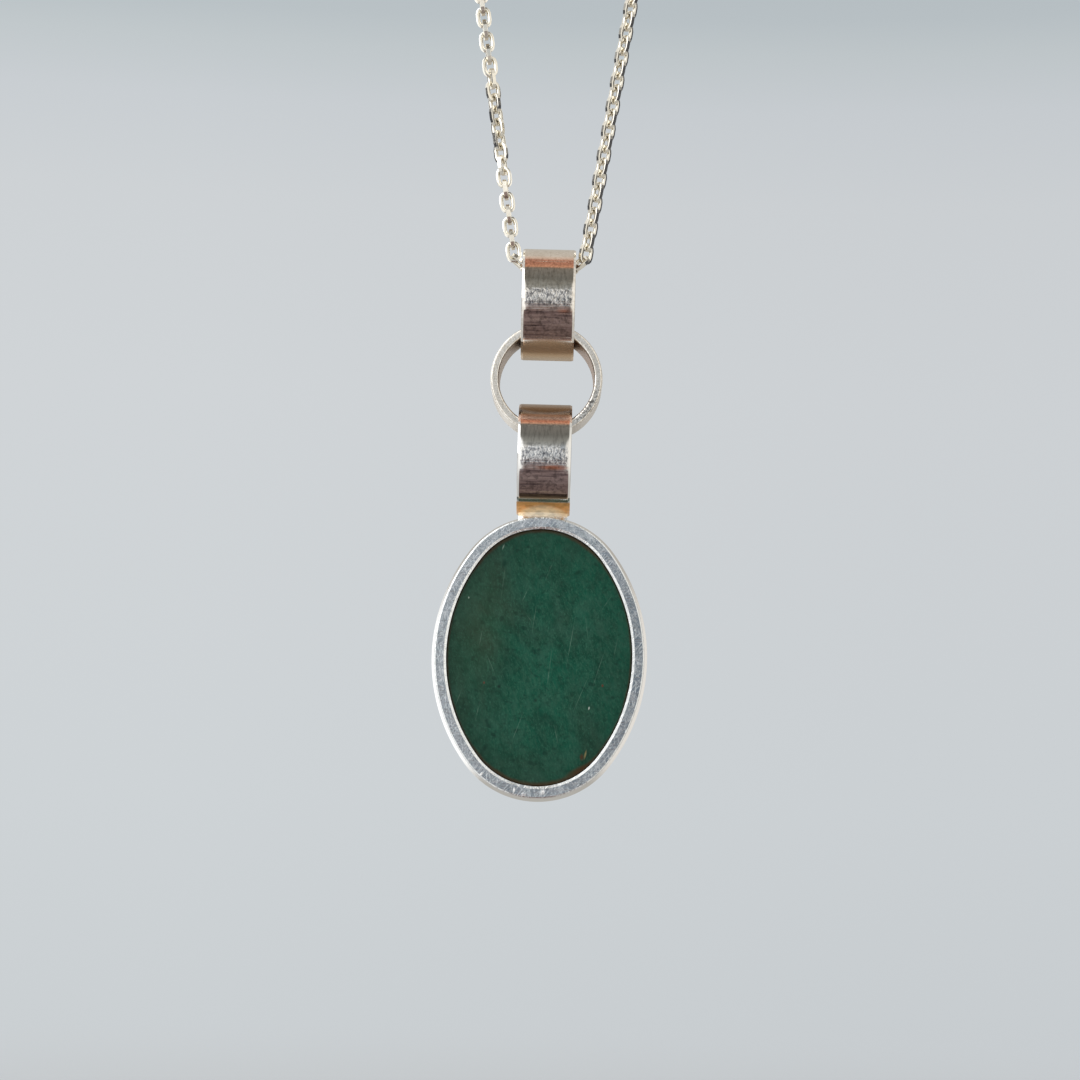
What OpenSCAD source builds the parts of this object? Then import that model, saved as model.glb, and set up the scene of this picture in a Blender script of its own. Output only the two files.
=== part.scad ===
// Silver pendant with an oval green stone, hung by two loose band rings on a whole chain.
// Millimetres. +Z is up, the pendant's face looks along -Y, and the origin is the point
// under the top of the chain loop where it hangs.

/* [Stone] */
// Width of the stone at its widest line
stone_w = 22; // [18:0.5:26]
// Height of the stone at its widest line
stone_h = 30.2; // [26:0.1:34]
// Thickness of the stone
stone_t = 2.7; // [2:0.1:4]
// Radius of the stone's outline at its top and bottom
stone_end_r = 8.9; // [8.5:0.1:9.4]
// Bevel round the edge of the stone's front
stone_bevel = 0.34; // [0.2:0.02:0.5]

/* [Frame of the stone] */
// Width of the silver wall on its front face, from the stone's widest line outwards
frame_wall = 1.15; // [0.9:0.05:1.6]
// How much further out the wall stands at the back
frame_flare = 0.5; // [0:0.05:0.6]
// Depth of the frame from front to back
frame_depth = 4; // [3.8:0.1:5]
// How far the wall's front lip reaches in over the stone
frame_lip = 0.25; // [0.15:0.05:0.4]
// Thickness of the closed back plate
back_plate_t = 0.8; // [0.5:0.1:1]
// How far the frame sits forward of the ring above it, which lets it hang plumb
frame_forward = 0.5; // [0:0.1:1]
// How deep the ring above is sunk into the frame's top edge, where it is soldered
solder_sink = 0.1; // [0.05:0.05:0.5]
// Width of the solder that fills the corner between the ring and the frame
solder_w = 5.7; // [4:0.1:6]
// Depth of the solder from front to back
solder_depth = 3; // [2:0.1:3.4]

/* [Band rings] */
// Outer diameter of each of the three rings
ring_od = 13.1; // [12:0.1:16]
// Thickness of the ring wall
ring_wall = 1; // [0.8:0.05:1.4]
// Width of the band
band_w = 6.2; // [5:0.1:7]
// Chamfer on the outer edges of the band
band_edge = 0.25; // [0.1:0.05:0.3]
// Chamfer on the inner edges of the band
band_inner_edge = 0.08; // [0.05:0.01:0.2]

/* [Chain] */
// Length of the whole loop, clasp included
loop_length = 450; // [400:10:600]
// Width of a link across the chain
chain_d = 1.8; // [1.4:0.1:2.2]
// Angle of each side of the loop from plumb
strand_lean = 8.7; // [5:0.1:12]
// Radius of the bend where the chain leaves the upper ring
bend_r = 1; // [1:0.1:2]

/* [Clasp] */
// Outer diameter of the clasp ring
clasp_od = 6; // [5:0.5:8]
// Thickness of the clasp ring's wire
clasp_wire = 1.2; // [1:0.1:1.6]
// Outer diameter of the small eye at each side of the clasp
eye_od = 2.5; // [2.2:0.1:3]
// Thickness of the eye's wire
eye_wire = 0.6; // [0.5:0.05:0.8]

/* [Fit] */
// Gap between the stone and its frame
stone_gap = 0.05; // [0.03:0.01:0.1]
// Gap between rings that hang in each other, and round the chain
ring_gap = 0.08; // [0.05:0.01:0.2]
// Small chamfer on the sharp edges of the frame
frame_edge = 0.15; // [0.05:0.05:0.25]

/* [Hidden] */
silver = [0.80, 0.80, 0.79];
green = [0.11, 0.28, 0.22];

// Rings
ring_r = ring_od / 2;
bore_r = ring_r - ring_wall;
half_band = band_w / 2;
// Two crossed bands rest on each other at their corners, this far off their centres
corner_x = half_band - band_inner_edge;
corner_drop = sqrt(bore_r * bore_r - corner_x * corner_x);
ring_pitch = 2 * corner_drop - ring_gap;

// The chain's route: level through the upper ring, a bend, a straight side, an arc over the top
chain_r = chain_d / 2;
level_half = half_band + ring_gap;
bend_turn = 90 - strand_lean;
bend_x = level_half + bend_r * sin(bend_turn);
bend_rise = bend_r * (1 - cos(bend_turn));
top_turn = 90 + strand_lean;
level_length = 2 * level_half + 2 * bend_r * bend_turn * PI / 180;
arc_per_r = 2 * top_turn * PI / 180;
side_length = (loop_length - level_length - arc_per_r * bend_x / cos(strand_lean))
    / (2 + arc_per_r * tan(strand_lean));
top_r = (bend_x + side_length * sin(strand_lean)) / cos(strand_lean);
top_centre_z = chain_r - top_r;
level_z = top_centre_z - top_r * sin(strand_lean) - side_length * cos(strand_lean) - bend_rise;
clasp_x = clasp_od / 2 + eye_od - eye_wire / 2;
clasp_turn = asin((clasp_x + ring_gap) / top_r);
arc_steps = 9;
side_steps = 26;
bend_steps = 4;
tube_sides = 8;

// Heights of the pieces
bail_z = level_z + chain_r + ring_gap - bore_r;
link_z = bail_z - ring_pitch;
drop_ring_z = link_z - ring_pitch;
frame_out = frame_wall + frame_flare;
frame_z = drop_ring_z - ring_r - stone_h / 2 - frame_out + solder_sink;
// The solder reaches this far up into the ring's wall and down into the frame's
solder_up = 0.35;
solder_down = 0.8;
// How far the solder's front and back lean in towards its top
solder_slope = 0.25;

// The oval is four arcs: a small one at each end, a large one at each side
end_c = stone_h / 2 - stone_end_r;
side_r = (pow(stone_w / 2, 2) + pow(end_c, 2) - pow(stone_end_r, 2)) / (2 * (stone_w / 2 - stone_end_r));
side_c = side_r - stone_w / 2;
arc_split = atan2(end_c, side_c);
// The large arcs' sectors start just short of the oval's middle, so that they cover it
plate_overlap = 0.5;

// Height in the frame at which the wall starts to lean in over the stone
seat_z = back_plate_t + stone_gap + stone_t - stone_bevel + stone_gap;
// Section of the wall and the back plate, from inner_r out to the oval line at line_r
function frame_section(line_r, inner_r) = [
    [inner_r, 0],
    [line_r + frame_out - frame_edge, 0],
    [line_r + frame_out, frame_edge],
    [line_r + frame_wall, frame_depth - frame_edge],
    [line_r + frame_wall - frame_edge, frame_depth],
    [line_r - frame_lip + frame_edge, frame_depth],
    [line_r - frame_lip, frame_depth - frame_edge],
    [line_r - frame_lip, seat_z + stone_bevel],
    [line_r + stone_gap, seat_z],
    [line_r + stone_gap, back_plate_t],
    [inner_r, back_plate_t]
];
// Section of the stone, a flat slab with a bevelled front edge
function stone_section(line_r, inner_r) = [
    [inner_r, 0],
    [line_r, 0],
    [line_r, stone_t - stone_bevel],
    [line_r - stone_bevel, stone_t],
    [inner_r, stone_t]
];

// One of the four arcs of the oval, turned out of a section
module oval_arc(centre, from, to) {
    translate([centre[0], centre[1], 0])
        rotate([0, 0, from])
            rotate_extrude(angle = to - from, $fn = 180)
                children();
}

// Stands an oval that was built flat up in the frame's place, its front along -Y
module stand_up(back_y) {
    translate([0, back_y, frame_z])
        rotate([90, 0, 0])
            children();
}

module band_ring() {
    rotate_extrude($fn = 160)
        polygon([
            [bore_r + band_inner_edge, -half_band],
            [ring_r - band_edge, -half_band],
            [ring_r, -half_band + band_edge],
            [ring_r, half_band - band_edge],
            [ring_r - band_edge, half_band],
            [bore_r + band_inner_edge, half_band],
            [bore_r, half_band - band_inner_edge],
            [bore_r, -half_band + band_inner_edge]
        ]);
}

module wire_ring(outer_d, wire_d) {
    rotate_extrude($fn = 64)
        translate([(outer_d - wire_d) / 2, 0])
            circle(d = wire_d, $fn = 32);
}

function arc_point(turn) = [top_r * sin(turn), top_centre_z + top_r * cos(turn)];
function bend_point(turn) = [
    level_half + bend_r * sin(turn),
    level_z + bend_r * (1 - cos(turn))
];
// Half of the route, from the clasp down to the end of the level stretch:
// each entry is a point and the direction of travel there, in degrees below level
half_route = concat(
    [for (i = [0 : arc_steps])
        let (turn = clasp_turn + (top_turn - clasp_turn) * i / arc_steps)
            [arc_point(turn), turn]],
    [for (i = [1 : side_steps - 1])
        let (
            top = arc_point(top_turn),
            low = bend_point(bend_turn),
            part = i / side_steps
        )
            [top + (low - top) * part, top_turn]],
    [for (i = [bend_steps : -1 : 0])
        let (turn = bend_turn * i / bend_steps)
            [bend_point(turn), 180 - turn]]
);
route = concat(
    half_route,
    [for (i = [len(half_route) - 1 : -1 : 0])
        [[-half_route[i][0][0], half_route[i][0][1]], 360 - half_route[i][1]]]
);
tube_points = [
    for (station = route)
        for (k = [0 : tube_sides - 1])
            let (
                turn = station[1],
                around = 360 * k / tube_sides,
                out = chain_r * cos(around)
            )
                [
                    station[0][0] + out * sin(turn),
                    chain_r * sin(around),
                    station[0][1] + out * cos(turn)
                ]
];
tube_walls = [
    for (i = [0 : len(route) - 2])
        for (k = [0 : tube_sides - 1])
            let (
                this_ring = i * tube_sides,
                next_ring = this_ring + tube_sides,
                next_k = (k + 1) % tube_sides
            )
                [this_ring + k, this_ring + next_k, next_ring + next_k, next_ring + k]
];
tube_ends = [
    [for (k = [tube_sides - 1 : -1 : 0]) k],
    [for (k = [0 : tube_sides - 1]) (len(route) - 1) * tube_sides + k]
];

module chain() {
    color(silver)
        polyhedron(points = tube_points, faces = concat(tube_walls, tube_ends));
}

module clasp() {
    color(silver)
        translate([0, 0, chain_r])
            union() {
                wire_ring(clasp_od, clasp_wire);
                for (side = [-1, 1])
                    translate([side * (clasp_od + eye_od - eye_wire) / 2, 0, 0])
                        wire_ring(eye_od, eye_wire);
            }
}

module bail_ring() {
    color(silver)
        translate([0, 0, bail_z])
            rotate([0, 90, 0])
                band_ring();
}

module link_ring() {
    color(silver)
        translate([0, 0, link_z])
            rotate([90, 0, 0])
                band_ring();
}

// The solder between the ring and the frame, a bar along X with sloping sides
module solder() {
    half_depth = solder_depth / 2;
    translate([-solder_w / 2, -frame_forward, drop_ring_z - ring_r])
        rotate([90, 0, 90])
            linear_extrude(solder_w)
                polygon([
                    [-half_depth, -solder_down],
                    [half_depth, -solder_down],
                    [half_depth, 0],
                    [half_depth - solder_slope, solder_up],
                    [solder_slope - half_depth, solder_up],
                    [-half_depth, 0]
                ]);
}

module setting() {
    color(silver)
        union() {
            translate([0, 0, drop_ring_z])
                rotate([0, 90, 0])
                    band_ring();
            solder();
            stand_up(frame_depth / 2 - frame_forward)
                for (side = [0, 180])
                    rotate([0, 0, side]) {
                        oval_arc([-side_c, 0], -arc_split, arc_split)
                            polygon(frame_section(side_r, side_c - plate_overlap));
                        oval_arc([0, end_c], arc_split, 180 - arc_split)
                            polygon(frame_section(stone_end_r, 0));
                    }
        }
}

module stone() {
    color(green)
        stand_up(frame_depth / 2 - frame_forward - back_plate_t - stone_gap)
            for (side = [0, 180])
                rotate([0, 0, side]) {
                    oval_arc([-side_c, 0], -arc_split, arc_split)
                        polygon(stone_section(side_r, side_c - plate_overlap));
                    oval_arc([0, end_c], arc_split, 180 - arc_split)
                        polygon(stone_section(stone_end_r, 0));
                }
}

chain();
clasp();
bail_ring();
link_ring();
setting();
stone();
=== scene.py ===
"""Looks of a silver pendant with an oval green stone, hung by linked band rings on an anchor chain.

Everything is in metres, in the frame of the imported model: +Z up, the stone faces -Y, and the
origin is the point under the top of the chain where the necklace hangs. Finishes work in
millimetres, and their relief is in thousandths of a millimetre.
"""
import bmesh
import bpy
import math
from collections import namedtuple
from mathutils import Euler, Matrix, Vector


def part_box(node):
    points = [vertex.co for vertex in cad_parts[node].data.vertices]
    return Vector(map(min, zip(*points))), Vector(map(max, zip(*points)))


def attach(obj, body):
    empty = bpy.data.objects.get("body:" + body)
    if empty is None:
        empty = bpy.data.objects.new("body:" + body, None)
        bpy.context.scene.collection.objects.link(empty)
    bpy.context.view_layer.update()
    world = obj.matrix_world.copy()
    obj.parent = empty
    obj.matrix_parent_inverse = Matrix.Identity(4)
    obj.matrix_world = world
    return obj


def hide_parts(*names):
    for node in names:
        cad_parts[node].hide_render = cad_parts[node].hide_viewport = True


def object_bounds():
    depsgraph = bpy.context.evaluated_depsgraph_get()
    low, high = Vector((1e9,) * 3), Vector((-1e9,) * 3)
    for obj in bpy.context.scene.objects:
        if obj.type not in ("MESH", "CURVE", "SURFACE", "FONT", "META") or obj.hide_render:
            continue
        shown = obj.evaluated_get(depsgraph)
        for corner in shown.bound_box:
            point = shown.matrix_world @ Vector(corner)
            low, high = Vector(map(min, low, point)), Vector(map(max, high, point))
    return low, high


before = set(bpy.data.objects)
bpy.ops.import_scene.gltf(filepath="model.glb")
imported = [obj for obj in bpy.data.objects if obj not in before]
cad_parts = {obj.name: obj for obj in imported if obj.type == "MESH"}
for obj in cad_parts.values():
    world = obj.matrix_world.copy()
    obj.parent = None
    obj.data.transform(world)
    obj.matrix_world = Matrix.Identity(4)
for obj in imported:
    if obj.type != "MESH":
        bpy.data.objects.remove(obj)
cad_low, cad_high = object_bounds()

MM = 0.001

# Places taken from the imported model
bail_low, bail_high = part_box("bail_ring")
link_low, link_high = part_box("link_ring")
setting_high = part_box("setting")[1]
stone_low, stone_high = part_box("stone")
chain_low, chain_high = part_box("chain")
clasp_low, clasp_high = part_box("clasp")

# Directions
ACROSS = Vector((1, 0, 0))
TO_BACK = Vector((0, 1, 0))
UP = Vector((0, 0, 1))

# The three band rings
RING_R = (bail_high.z - bail_low.z) / 2
HALF_BAND = (bail_high.x - bail_low.x) / 2
RING_WALL = 1.0 * MM
BORE_R = RING_R - RING_WALL
BAND_EDGE = 0.06 * MM
BAND_SLOPE_W = 0.26 * MM
BAND_SLOPE_H = 0.09 * MM
BAND_INNER_EDGE = 0.2 * MM
BORE_MARGIN = 0.02 * MM
bail_centre = (bail_low + bail_high) / 2
link_centre = (link_low + link_high) / 2
drop_ring_centre = Vector((0, 0, setting_high.z - RING_R))

# The stone's outline is four arcs: a small one at each end, a large one at each side
STONE_HALF_W = (stone_high.x - stone_low.x) / 2
STONE_HALF_H = (stone_high.z - stone_low.z) / 2
STONE_END_R = 8.9 * MM
STONE_BEVEL = 0.34 * MM
STONE_EDGE_ROUND = 0.1 * MM
stone_front = stone_low.y
stone_back = stone_high.y
oval_centre = Vector((0, 0, (stone_low.z + stone_high.z) / 2))

# The frame's wall, measured out from the stone's outline
WALL_FRONT = 1.15 * MM
WALL_BACK = setting_high.x - STONE_HALF_W
FRAME_DEPTH = 4.0 * MM
FRAME_LIP = 0.25 * MM
FRAME_EDGE = 0.05 * MM
OUTER_SLOPE_W = 0.16 * MM
OUTER_SLOPE_H = 0.04 * MM
LIP_SLOPE_W = 0.3 * MM
LIP_SLOPE_H = 0.065 * MM
LIP_EDGE = 0.05 * MM
BACK_PLATE_T = 0.8 * MM
STONE_GAP = 0.05 * MM
frame_back = stone_back + BACK_PLATE_T + STONE_GAP
# The flat caps of the stone and the frame begin this far in from the outline, which is less than
# the radius of its smallest arc
CAP_EDGE = -0.6 * STONE_END_R

# The solder between the lower ring and the frame
SOLDER_HALF_W = 2.85 * MM
SOLDER_FRONT = -2.0 * MM
SOLDER_BACK = 1.0 * MM
SOLDER_DOWN = 0.8 * MM
SOLDER_UP = 0.35 * MM
SOLDER_HOLLOW = 0.3 * MM
# How much of its depth it loses at its ends, and how late it begins to
SOLDER_END_LOSS = 0.1
SOLDER_END_POWER = 6
SOLDER_STEPS_UP = 8
SOLDER_STEPS_ACROSS = 24

# The chain
LINK_W = chain_high.y - chain_low.y
LINK_WIRE_R = 0.29 * MM
LINK_FLAT = 0.2 * MM
LINK_PITCH = 1.515 * MM
STRAND_LEAN = math.radians(8.7)
BEND_R = 1.0 * MM
LEVEL_HALF = HALF_BAND + 0.08 * MM
LINK_OVERLAP = 0.01 * MM
CHAIN_CLEAR = 0.03 * MM
LINK_BENDS = 14
LINK_WIRE_SIDES = 7
LINK_SQUARENESS = 0.65
LINK_THICK = LINK_WIRE_R + LINK_FLAT
LINK_CREASE = math.radians(55)
FLAT_CREASE = math.radians(8)
level_z = chain_low.z + LINK_W / 2

# How finely the chain's route is drawn and its links are fitted to it
BEND_STEPS = 40
ROUND_STEPS = 240
HALVINGS = 40
PITCH_PLAY = 0.03
END_MARGIN = 0.0001 * MM

# The clasp
CLASP_R = (clasp_high.y - clasp_low.y) / 2
CLASP_WIRE_R = (clasp_high.z - clasp_low.z) / 2
EYE_R = 1.25 * MM
EYE_WIRE_R = 0.3 * MM
EYE_X = CLASP_R + EYE_R - EYE_WIRE_R
clasp_z = (clasp_low.z + clasp_high.z) / 2
# How far the chain hangs below its round at the eyes, over what reach, and below an eye's middle
EYE_SAG = 0.6 * MM
EYE_SAG_REACH = 12.0 * MM
EYE_DROP = 0.09 * MM

# Roundness of the turned pieces
RING_STEPS = 256
OVAL_STEPS_PER_DEGREE = 2.0
CORNER_STEPS = 4
CLASP_STEPS = 96
CLASP_WIRE_SIDES = 24
EYE_STEPS = 48
EYE_WIRE_SIDES = 16
SHARP = math.radians(32)
SAME_POINT = 0.0005 * MM
# The points that keep a section's flats flat lie this far from its arcs, or this part of the side
FLAT_MARGIN = 0.05 * MM
FLAT_PART = 0.05
# The most of a side that one rounded corner may take
CORNER_PART = 0.4
# The unit of a piece's own map
MAP_UNIT = 10 * MM

# The photograph's view: what its pixels say of the camera
PHOTO_SIZE = 1080
PIXELS_PER_MM = 8.64
LENS_MM = 75.0
SENSOR_MM = 36.0
STONE_PIXEL = (539.2, 657.2)
DEPTH_VANISHING_PIXEL = (550.0, 735.0)
CAMERA_ROLL = math.radians(1.5)
CAMERA_NEAR = 0.01
CAMERA_FAR = 50.0

# The floor, which is solid near its middle and fades out before its edge, and the key light
FLOOR_BELOW = 0.16
FLOOR_REACH = 1.2
FLOOR_SOLID = 0.35
FLOOR_FADED = 0.95 * FLOOR_REACH
FLOOR_STEPS = 96
KEY_LIGHT_PLACE = Vector((-0.35, -0.25, 0.05))
KEY_LIGHT_SIZE = 0.5
KEY_LIGHT_WATTS = 1.2


# Sections and sweeps

def rounded(corners):
    """A closed section from corners (across, along, radius), each turned into an arc.

    A point on the straight part just before and after each arc keeps the flats flat in the light.
    """
    points = []
    for i, (x, y, radius) in enumerate(corners):
        here = Vector((x, y))
        if radius <= 0:
            points.append(here)
            continue
        before = Vector(corners[i - 1][:2]) - here
        after = Vector(corners[(i + 1) % len(corners)][:2]) - here
        half = before.angle(after) / 2
        cut = min(radius / math.tan(half), CORNER_PART * before.length, CORNER_PART * after.length)
        radius = cut * math.tan(half)
        back, ahead = before.normalized(), after.normalized()
        middle = here + (back + ahead).normalized() * radius / math.sin(half)
        start, end = here + back * cut, here + ahead * cut
        turn = (start - middle).angle_signed(end - middle)
        points.append(start + back * min(FLAT_MARGIN, FLAT_PART * before.length))
        for k in range(CORNER_STEPS + 1):
            points.append(middle + Matrix.Rotation(-turn * k / CORNER_STEPS, 2) @ (start - middle))
        points.append(end + ahead * min(FLAT_MARGIN, FLAT_PART * after.length))
    return points


def in_scene(name, data):
    """An object that holds a mesh, light or camera, in the scene."""
    thing = bpy.data.objects.new(name, data)
    bpy.context.scene.collection.objects.link(thing)
    return thing


def new_piece(name, verts, faces, uvs=()):
    """A smooth piece; uvs has a place on its map for each corner of each face."""
    mesh = bpy.data.meshes.new(name)
    mesh.from_pydata([tuple(v) for v in verts], [], faces)
    if uvs:
        for corner, uv in zip(mesh.uv_layers.new(name="surface").data, uvs):
            corner.uv = uv
    mesh.shade_smooth()
    return in_scene(name, mesh)


def quads(rows, count, rows_close=True, section_closes=True):
    """The faces between neighbouring rows of points, with `count` points in a row."""
    faces = []
    for i in range(rows if rows_close else rows - 1):
        j = (i + 1) % rows
        for k in range(count if section_closes else count - 1):
            m = (k + 1) % count
            faces.append((i * count + k, i * count + m, j * count + m, j * count + k))
    return faces


def distances(points):
    """How far along a closed line each of its points lies, and its whole length, in map units."""
    run = [0.0]
    for here, ahead in zip(points, [*points[1:], points[0]]):
        run.append(run[-1] + (ahead - here).length / MAP_UNIT)
    return run


def sweep(name, section, stations):
    """Carries a closed section round closed stations of (origin, outwards, upwards)."""
    verts = []
    for origin, outwards, upwards in stations:
        verts.extend(origin + outwards * p.x + upwards * p.y for p in section)
    count = len(section)
    along = distances(verts[::count])
    around = distances(section)
    uvs = []
    for low, high in zip(along, along[1:]):
        for near, far in zip(around, around[1:]):
            uvs.extend([(low, near), (low, far), (high, far), (high, near)])
    return new_piece(name, verts, quads(len(stations), count), uvs)


def turn_outwards(piece):
    """Points every face of a closed piece outwards and creases its sharp edges."""
    work = bmesh.new()
    work.from_mesh(piece.data)
    bmesh.ops.remove_doubles(work, verts=work.verts, dist=SAME_POINT)
    bmesh.ops.recalc_face_normals(work, faces=work.faces)
    work.to_mesh(piece.data)
    work.free()
    piece.data.set_sharp_from_angle(angle=SHARP)
    return piece


def write_points(piece, name, values):
    """Keeps a number at every point of a piece, for its finish to read."""
    piece.data.attributes.new(name, "FLOAT", "POINT").data.foreach_set("value", values)


def circle_turns(steps):
    """Equal steps round a whole turn."""
    return [2 * math.pi * i / steps for i in range(steps)]


def circle_stations(centre, axis, steps):
    """Stations round an axis through centre."""
    side = axis.orthogonal().normalized()
    other = axis.cross(side)
    return [(centre, side * math.cos(turn) + other * math.sin(turn), axis) for turn in circle_turns(steps)]


def oval_stations():
    """Stations round the stone's outline, with the way that the face looks as up."""
    end_c = STONE_HALF_H - STONE_END_R
    side_r = (STONE_HALF_W ** 2 + end_c ** 2 - STONE_END_R ** 2) / (2 * (STONE_HALF_W - STONE_END_R))
    side_c = side_r - STONE_HALF_W
    split = math.atan2(end_c, side_c)
    arcs = [
        ((-side_c, 0), side_r, -split, split),
        ((0, end_c), STONE_END_R, split, math.pi - split),
        ((side_c, 0), side_r, math.pi - split, math.pi + split),
        ((0, -end_c), STONE_END_R, math.pi + split, 2 * math.pi - split),
    ]
    stations = []
    for (x, z), radius, start, stop in arcs:
        steps = round(math.degrees(stop - start) * OVAL_STEPS_PER_DEGREE)
        for i in range(steps):
            turn = start + (stop - start) * i / steps
            out = Vector((math.cos(turn), 0, math.sin(turn)))
            stations.append((oval_centre + Vector((x, 0, z)) + out * radius, out, -TO_BACK))
    return stations


# The pieces

def band_section():
    """The band's section, off the ring's axis and middle."""
    return rounded([
        (BORE_R, -HALF_BAND, BAND_INNER_EDGE),
        (RING_R - BAND_SLOPE_H, -HALF_BAND, BAND_EDGE),
        (RING_R, BAND_SLOPE_W - HALF_BAND, BAND_EDGE),
        (RING_R, HALF_BAND - BAND_SLOPE_W, BAND_EDGE),
        (RING_R - BAND_SLOPE_H, HALF_BAND, BAND_EDGE),
        (BORE_R, HALF_BAND, BAND_INNER_EDGE),
    ])


def bare_ring(name, centre, axis):
    """A band ring without the marks that its finish reads."""
    return turn_outwards(sweep(name, band_section(), circle_stations(centre, axis, RING_STEPS)))


def band_ring(name, centre, axis):
    """A loose band ring."""
    ring = bare_ring(name, centre, axis)
    mark_ring(ring, centre, axis)
    return ring


def mark_ring(piece, centre, axis):
    """Writes on a ring's points what its finish reads.

    These are "bore", 1 inside it, "front", 1 on the front of a band that is seen from its edge,
    "face_on", 1 on a ring that is seen from its side, and "height" in mm above the ring's middle.
    """
    edge_on = axis == ACROSS
    bore, front, height = [], [], []
    for vertex in piece.data.vertices:
        arm = vertex.co - centre
        off_axis = (arm - axis * arm.dot(axis)).length
        in_front = arm.y < 0 and BORE_R + RING_WALL / 2 < off_axis < RING_R + BAND_EDGE
        bore.append(float(off_axis < BORE_R + BORE_MARGIN))
        front.append(float(edge_on and in_front))
        height.append(arm.z / MM)
    write_points(piece, "bore", bore)
    write_points(piece, "front", front)
    write_points(piece, "face_on", [float(not edge_on)] * len(height))
    write_points(piece, "height", height)


def plate_piece(name, section):
    """Sweeps an open section round the oval and closes it with two flat caps.

    The section runs from the back cap's edge, outwards and forwards, to the front cap's edge.
    """
    stations = oval_stations()
    rows, count = len(stations), len(section)
    verts = []
    for origin, outwards, upwards in stations:
        verts.extend(origin + outwards * p.x + upwards * p.y for p in section)
    faces = quads(rows, count, section_closes=False)
    for k in (0, count - 1):
        faces.extend((i * count + k, (i + 1) % rows * count + k, len(verts)) for i in range(rows))
        verts.append(oval_centre - TO_BACK * section[k].y)
    return turn_outwards(new_piece(name, verts, faces))


def frame_piece():
    """The oval frame with its back plate. Heights run forwards from the middle plane."""
    back, front = -frame_back, FRAME_DEPTH - frame_back
    floor = back + BACK_PLATE_T
    seat = -stone_front - STONE_BEVEL + STONE_GAP
    return plate_piece("frame_wall", rounded([
        (CAP_EDGE, back, 0),
        (WALL_BACK, back, FRAME_EDGE),
        (WALL_FRONT, front - OUTER_SLOPE_H, FRAME_EDGE),
        (WALL_FRONT - OUTER_SLOPE_W, front, LIP_EDGE),
        (LIP_SLOPE_W - FRAME_LIP, front, LIP_EDGE),
        (-FRAME_LIP, front - LIP_SLOPE_H, LIP_EDGE),
        (-FRAME_LIP, seat + STONE_BEVEL, 0),
        (STONE_GAP, seat, 0),
        (STONE_GAP, floor, 0),
        (CAP_EDGE, floor, 0),
    ]))


def stone_piece():
    """The bevelled stone, with "edge" on its points: 0 at its middle, 1 at its outline."""
    stone = plate_piece("green_oval_stone", rounded([
        (CAP_EDGE, -stone_back, 0),
        (0, -stone_back, STONE_EDGE_ROUND),
        (0, -stone_front - STONE_BEVEL, STONE_EDGE_ROUND),
        (-STONE_BEVEL, -stone_front, STONE_EDGE_ROUND),
        (CAP_EDGE, -stone_front, 0),
    ]))
    arms = [vertex.co - oval_centre for vertex in stone.data.vertices]
    write_points(stone, "edge", [math.hypot(a.x / STONE_HALF_W, a.z / STONE_HALF_H) for a in arms])
    return stone


def evaluated_copy(thing):
    """What an object's modifiers make of it, as a plain mesh."""
    graph = bpy.context.evaluated_depsgraph_get()
    return bpy.data.meshes.new_from_object(thing.evaluated_get(graph))


def joined(name, base, *others):
    """Fuses closed pieces into one closed mesh."""
    for other in others:
        step = base.modifiers.new("fuse", "BOOLEAN")
        step.operation = "UNION"
        step.solver = "EXACT"
        step.object = other
    piece = in_scene(name, evaluated_copy(base))
    piece.data.set_sharp_from_angle(angle=SHARP)
    for old in (base, *others):
        bpy.data.objects.remove(old)
    return piece


def solder_seam():
    """The solder that fills the corner between the lower ring and the frame, hollow to the front."""
    foot = drop_ring_centre.z - RING_R
    low, high = foot - SOLDER_DOWN, foot + SOLDER_UP
    rises = [k / SOLDER_STEPS_UP for k in range(SOLDER_STEPS_UP + 1)]
    verts = []
    for i in range(SOLDER_STEPS_ACROSS + 1):
        part = 2 * i / SOLDER_STEPS_ACROSS - 1
        draw_in = 1 - SOLDER_END_LOSS * abs(part) ** SOLDER_END_POWER
        for depth, sign, side in ((SOLDER_FRONT, 1, rises), (SOLDER_BACK, -1, rises[::-1])):
            for rise in side:
                hollow = SOLDER_HOLLOW * math.sin(math.pi / 2 * rise)
                verts.append(Vector((
                    SOLDER_HALF_W * part, depth * draw_in + sign * hollow, low + (high - low) * rise)))
    count = 2 * len(rises)
    faces = quads(SOLDER_STEPS_ACROSS + 1, count, rows_close=False)
    faces.append(tuple(range(count)))
    faces.append(tuple(range(len(verts) - count, len(verts))))
    return turn_outwards(new_piece("solder_seam", verts, faces))


def setting_piece():
    """The frame, the ring on top of it and the solder between them, as one solid."""
    ring = bare_ring("setting_ring", drop_ring_centre, ACROSS)
    setting = joined("silver_setting", frame_piece(), ring, solder_seam())
    mark_ring(setting, drop_ring_centre, ACROSS)
    return setting


def clasp_piece():
    """A plain hoop with an eye at each side."""
    def wire_ring(name, x, radius, wire_r, steps, sides):
        section = [
            Vector((radius - wire_r + wire_r * math.cos(turn), wire_r * math.sin(turn)))
            for turn in circle_turns(sides)
        ]
        return turn_outwards(sweep(name, section, circle_stations(Vector((x, 0, clasp_z)), UP, steps)))

    def eye(name, x):
        return wire_ring(name, x, EYE_R, EYE_WIRE_R, EYE_STEPS, EYE_WIRE_SIDES)

    hoop = wire_ring("clasp_hoop", 0, CLASP_R, CLASP_WIRE_R, CLASP_STEPS, CLASP_WIRE_SIDES)
    return joined("plain_clasp", hoop, eye("clasp_left_eye", -EYE_X), eye("clasp_right_eye", EYE_X))


# The chain: where its links meet, how each is turned, and the link itself

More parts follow.
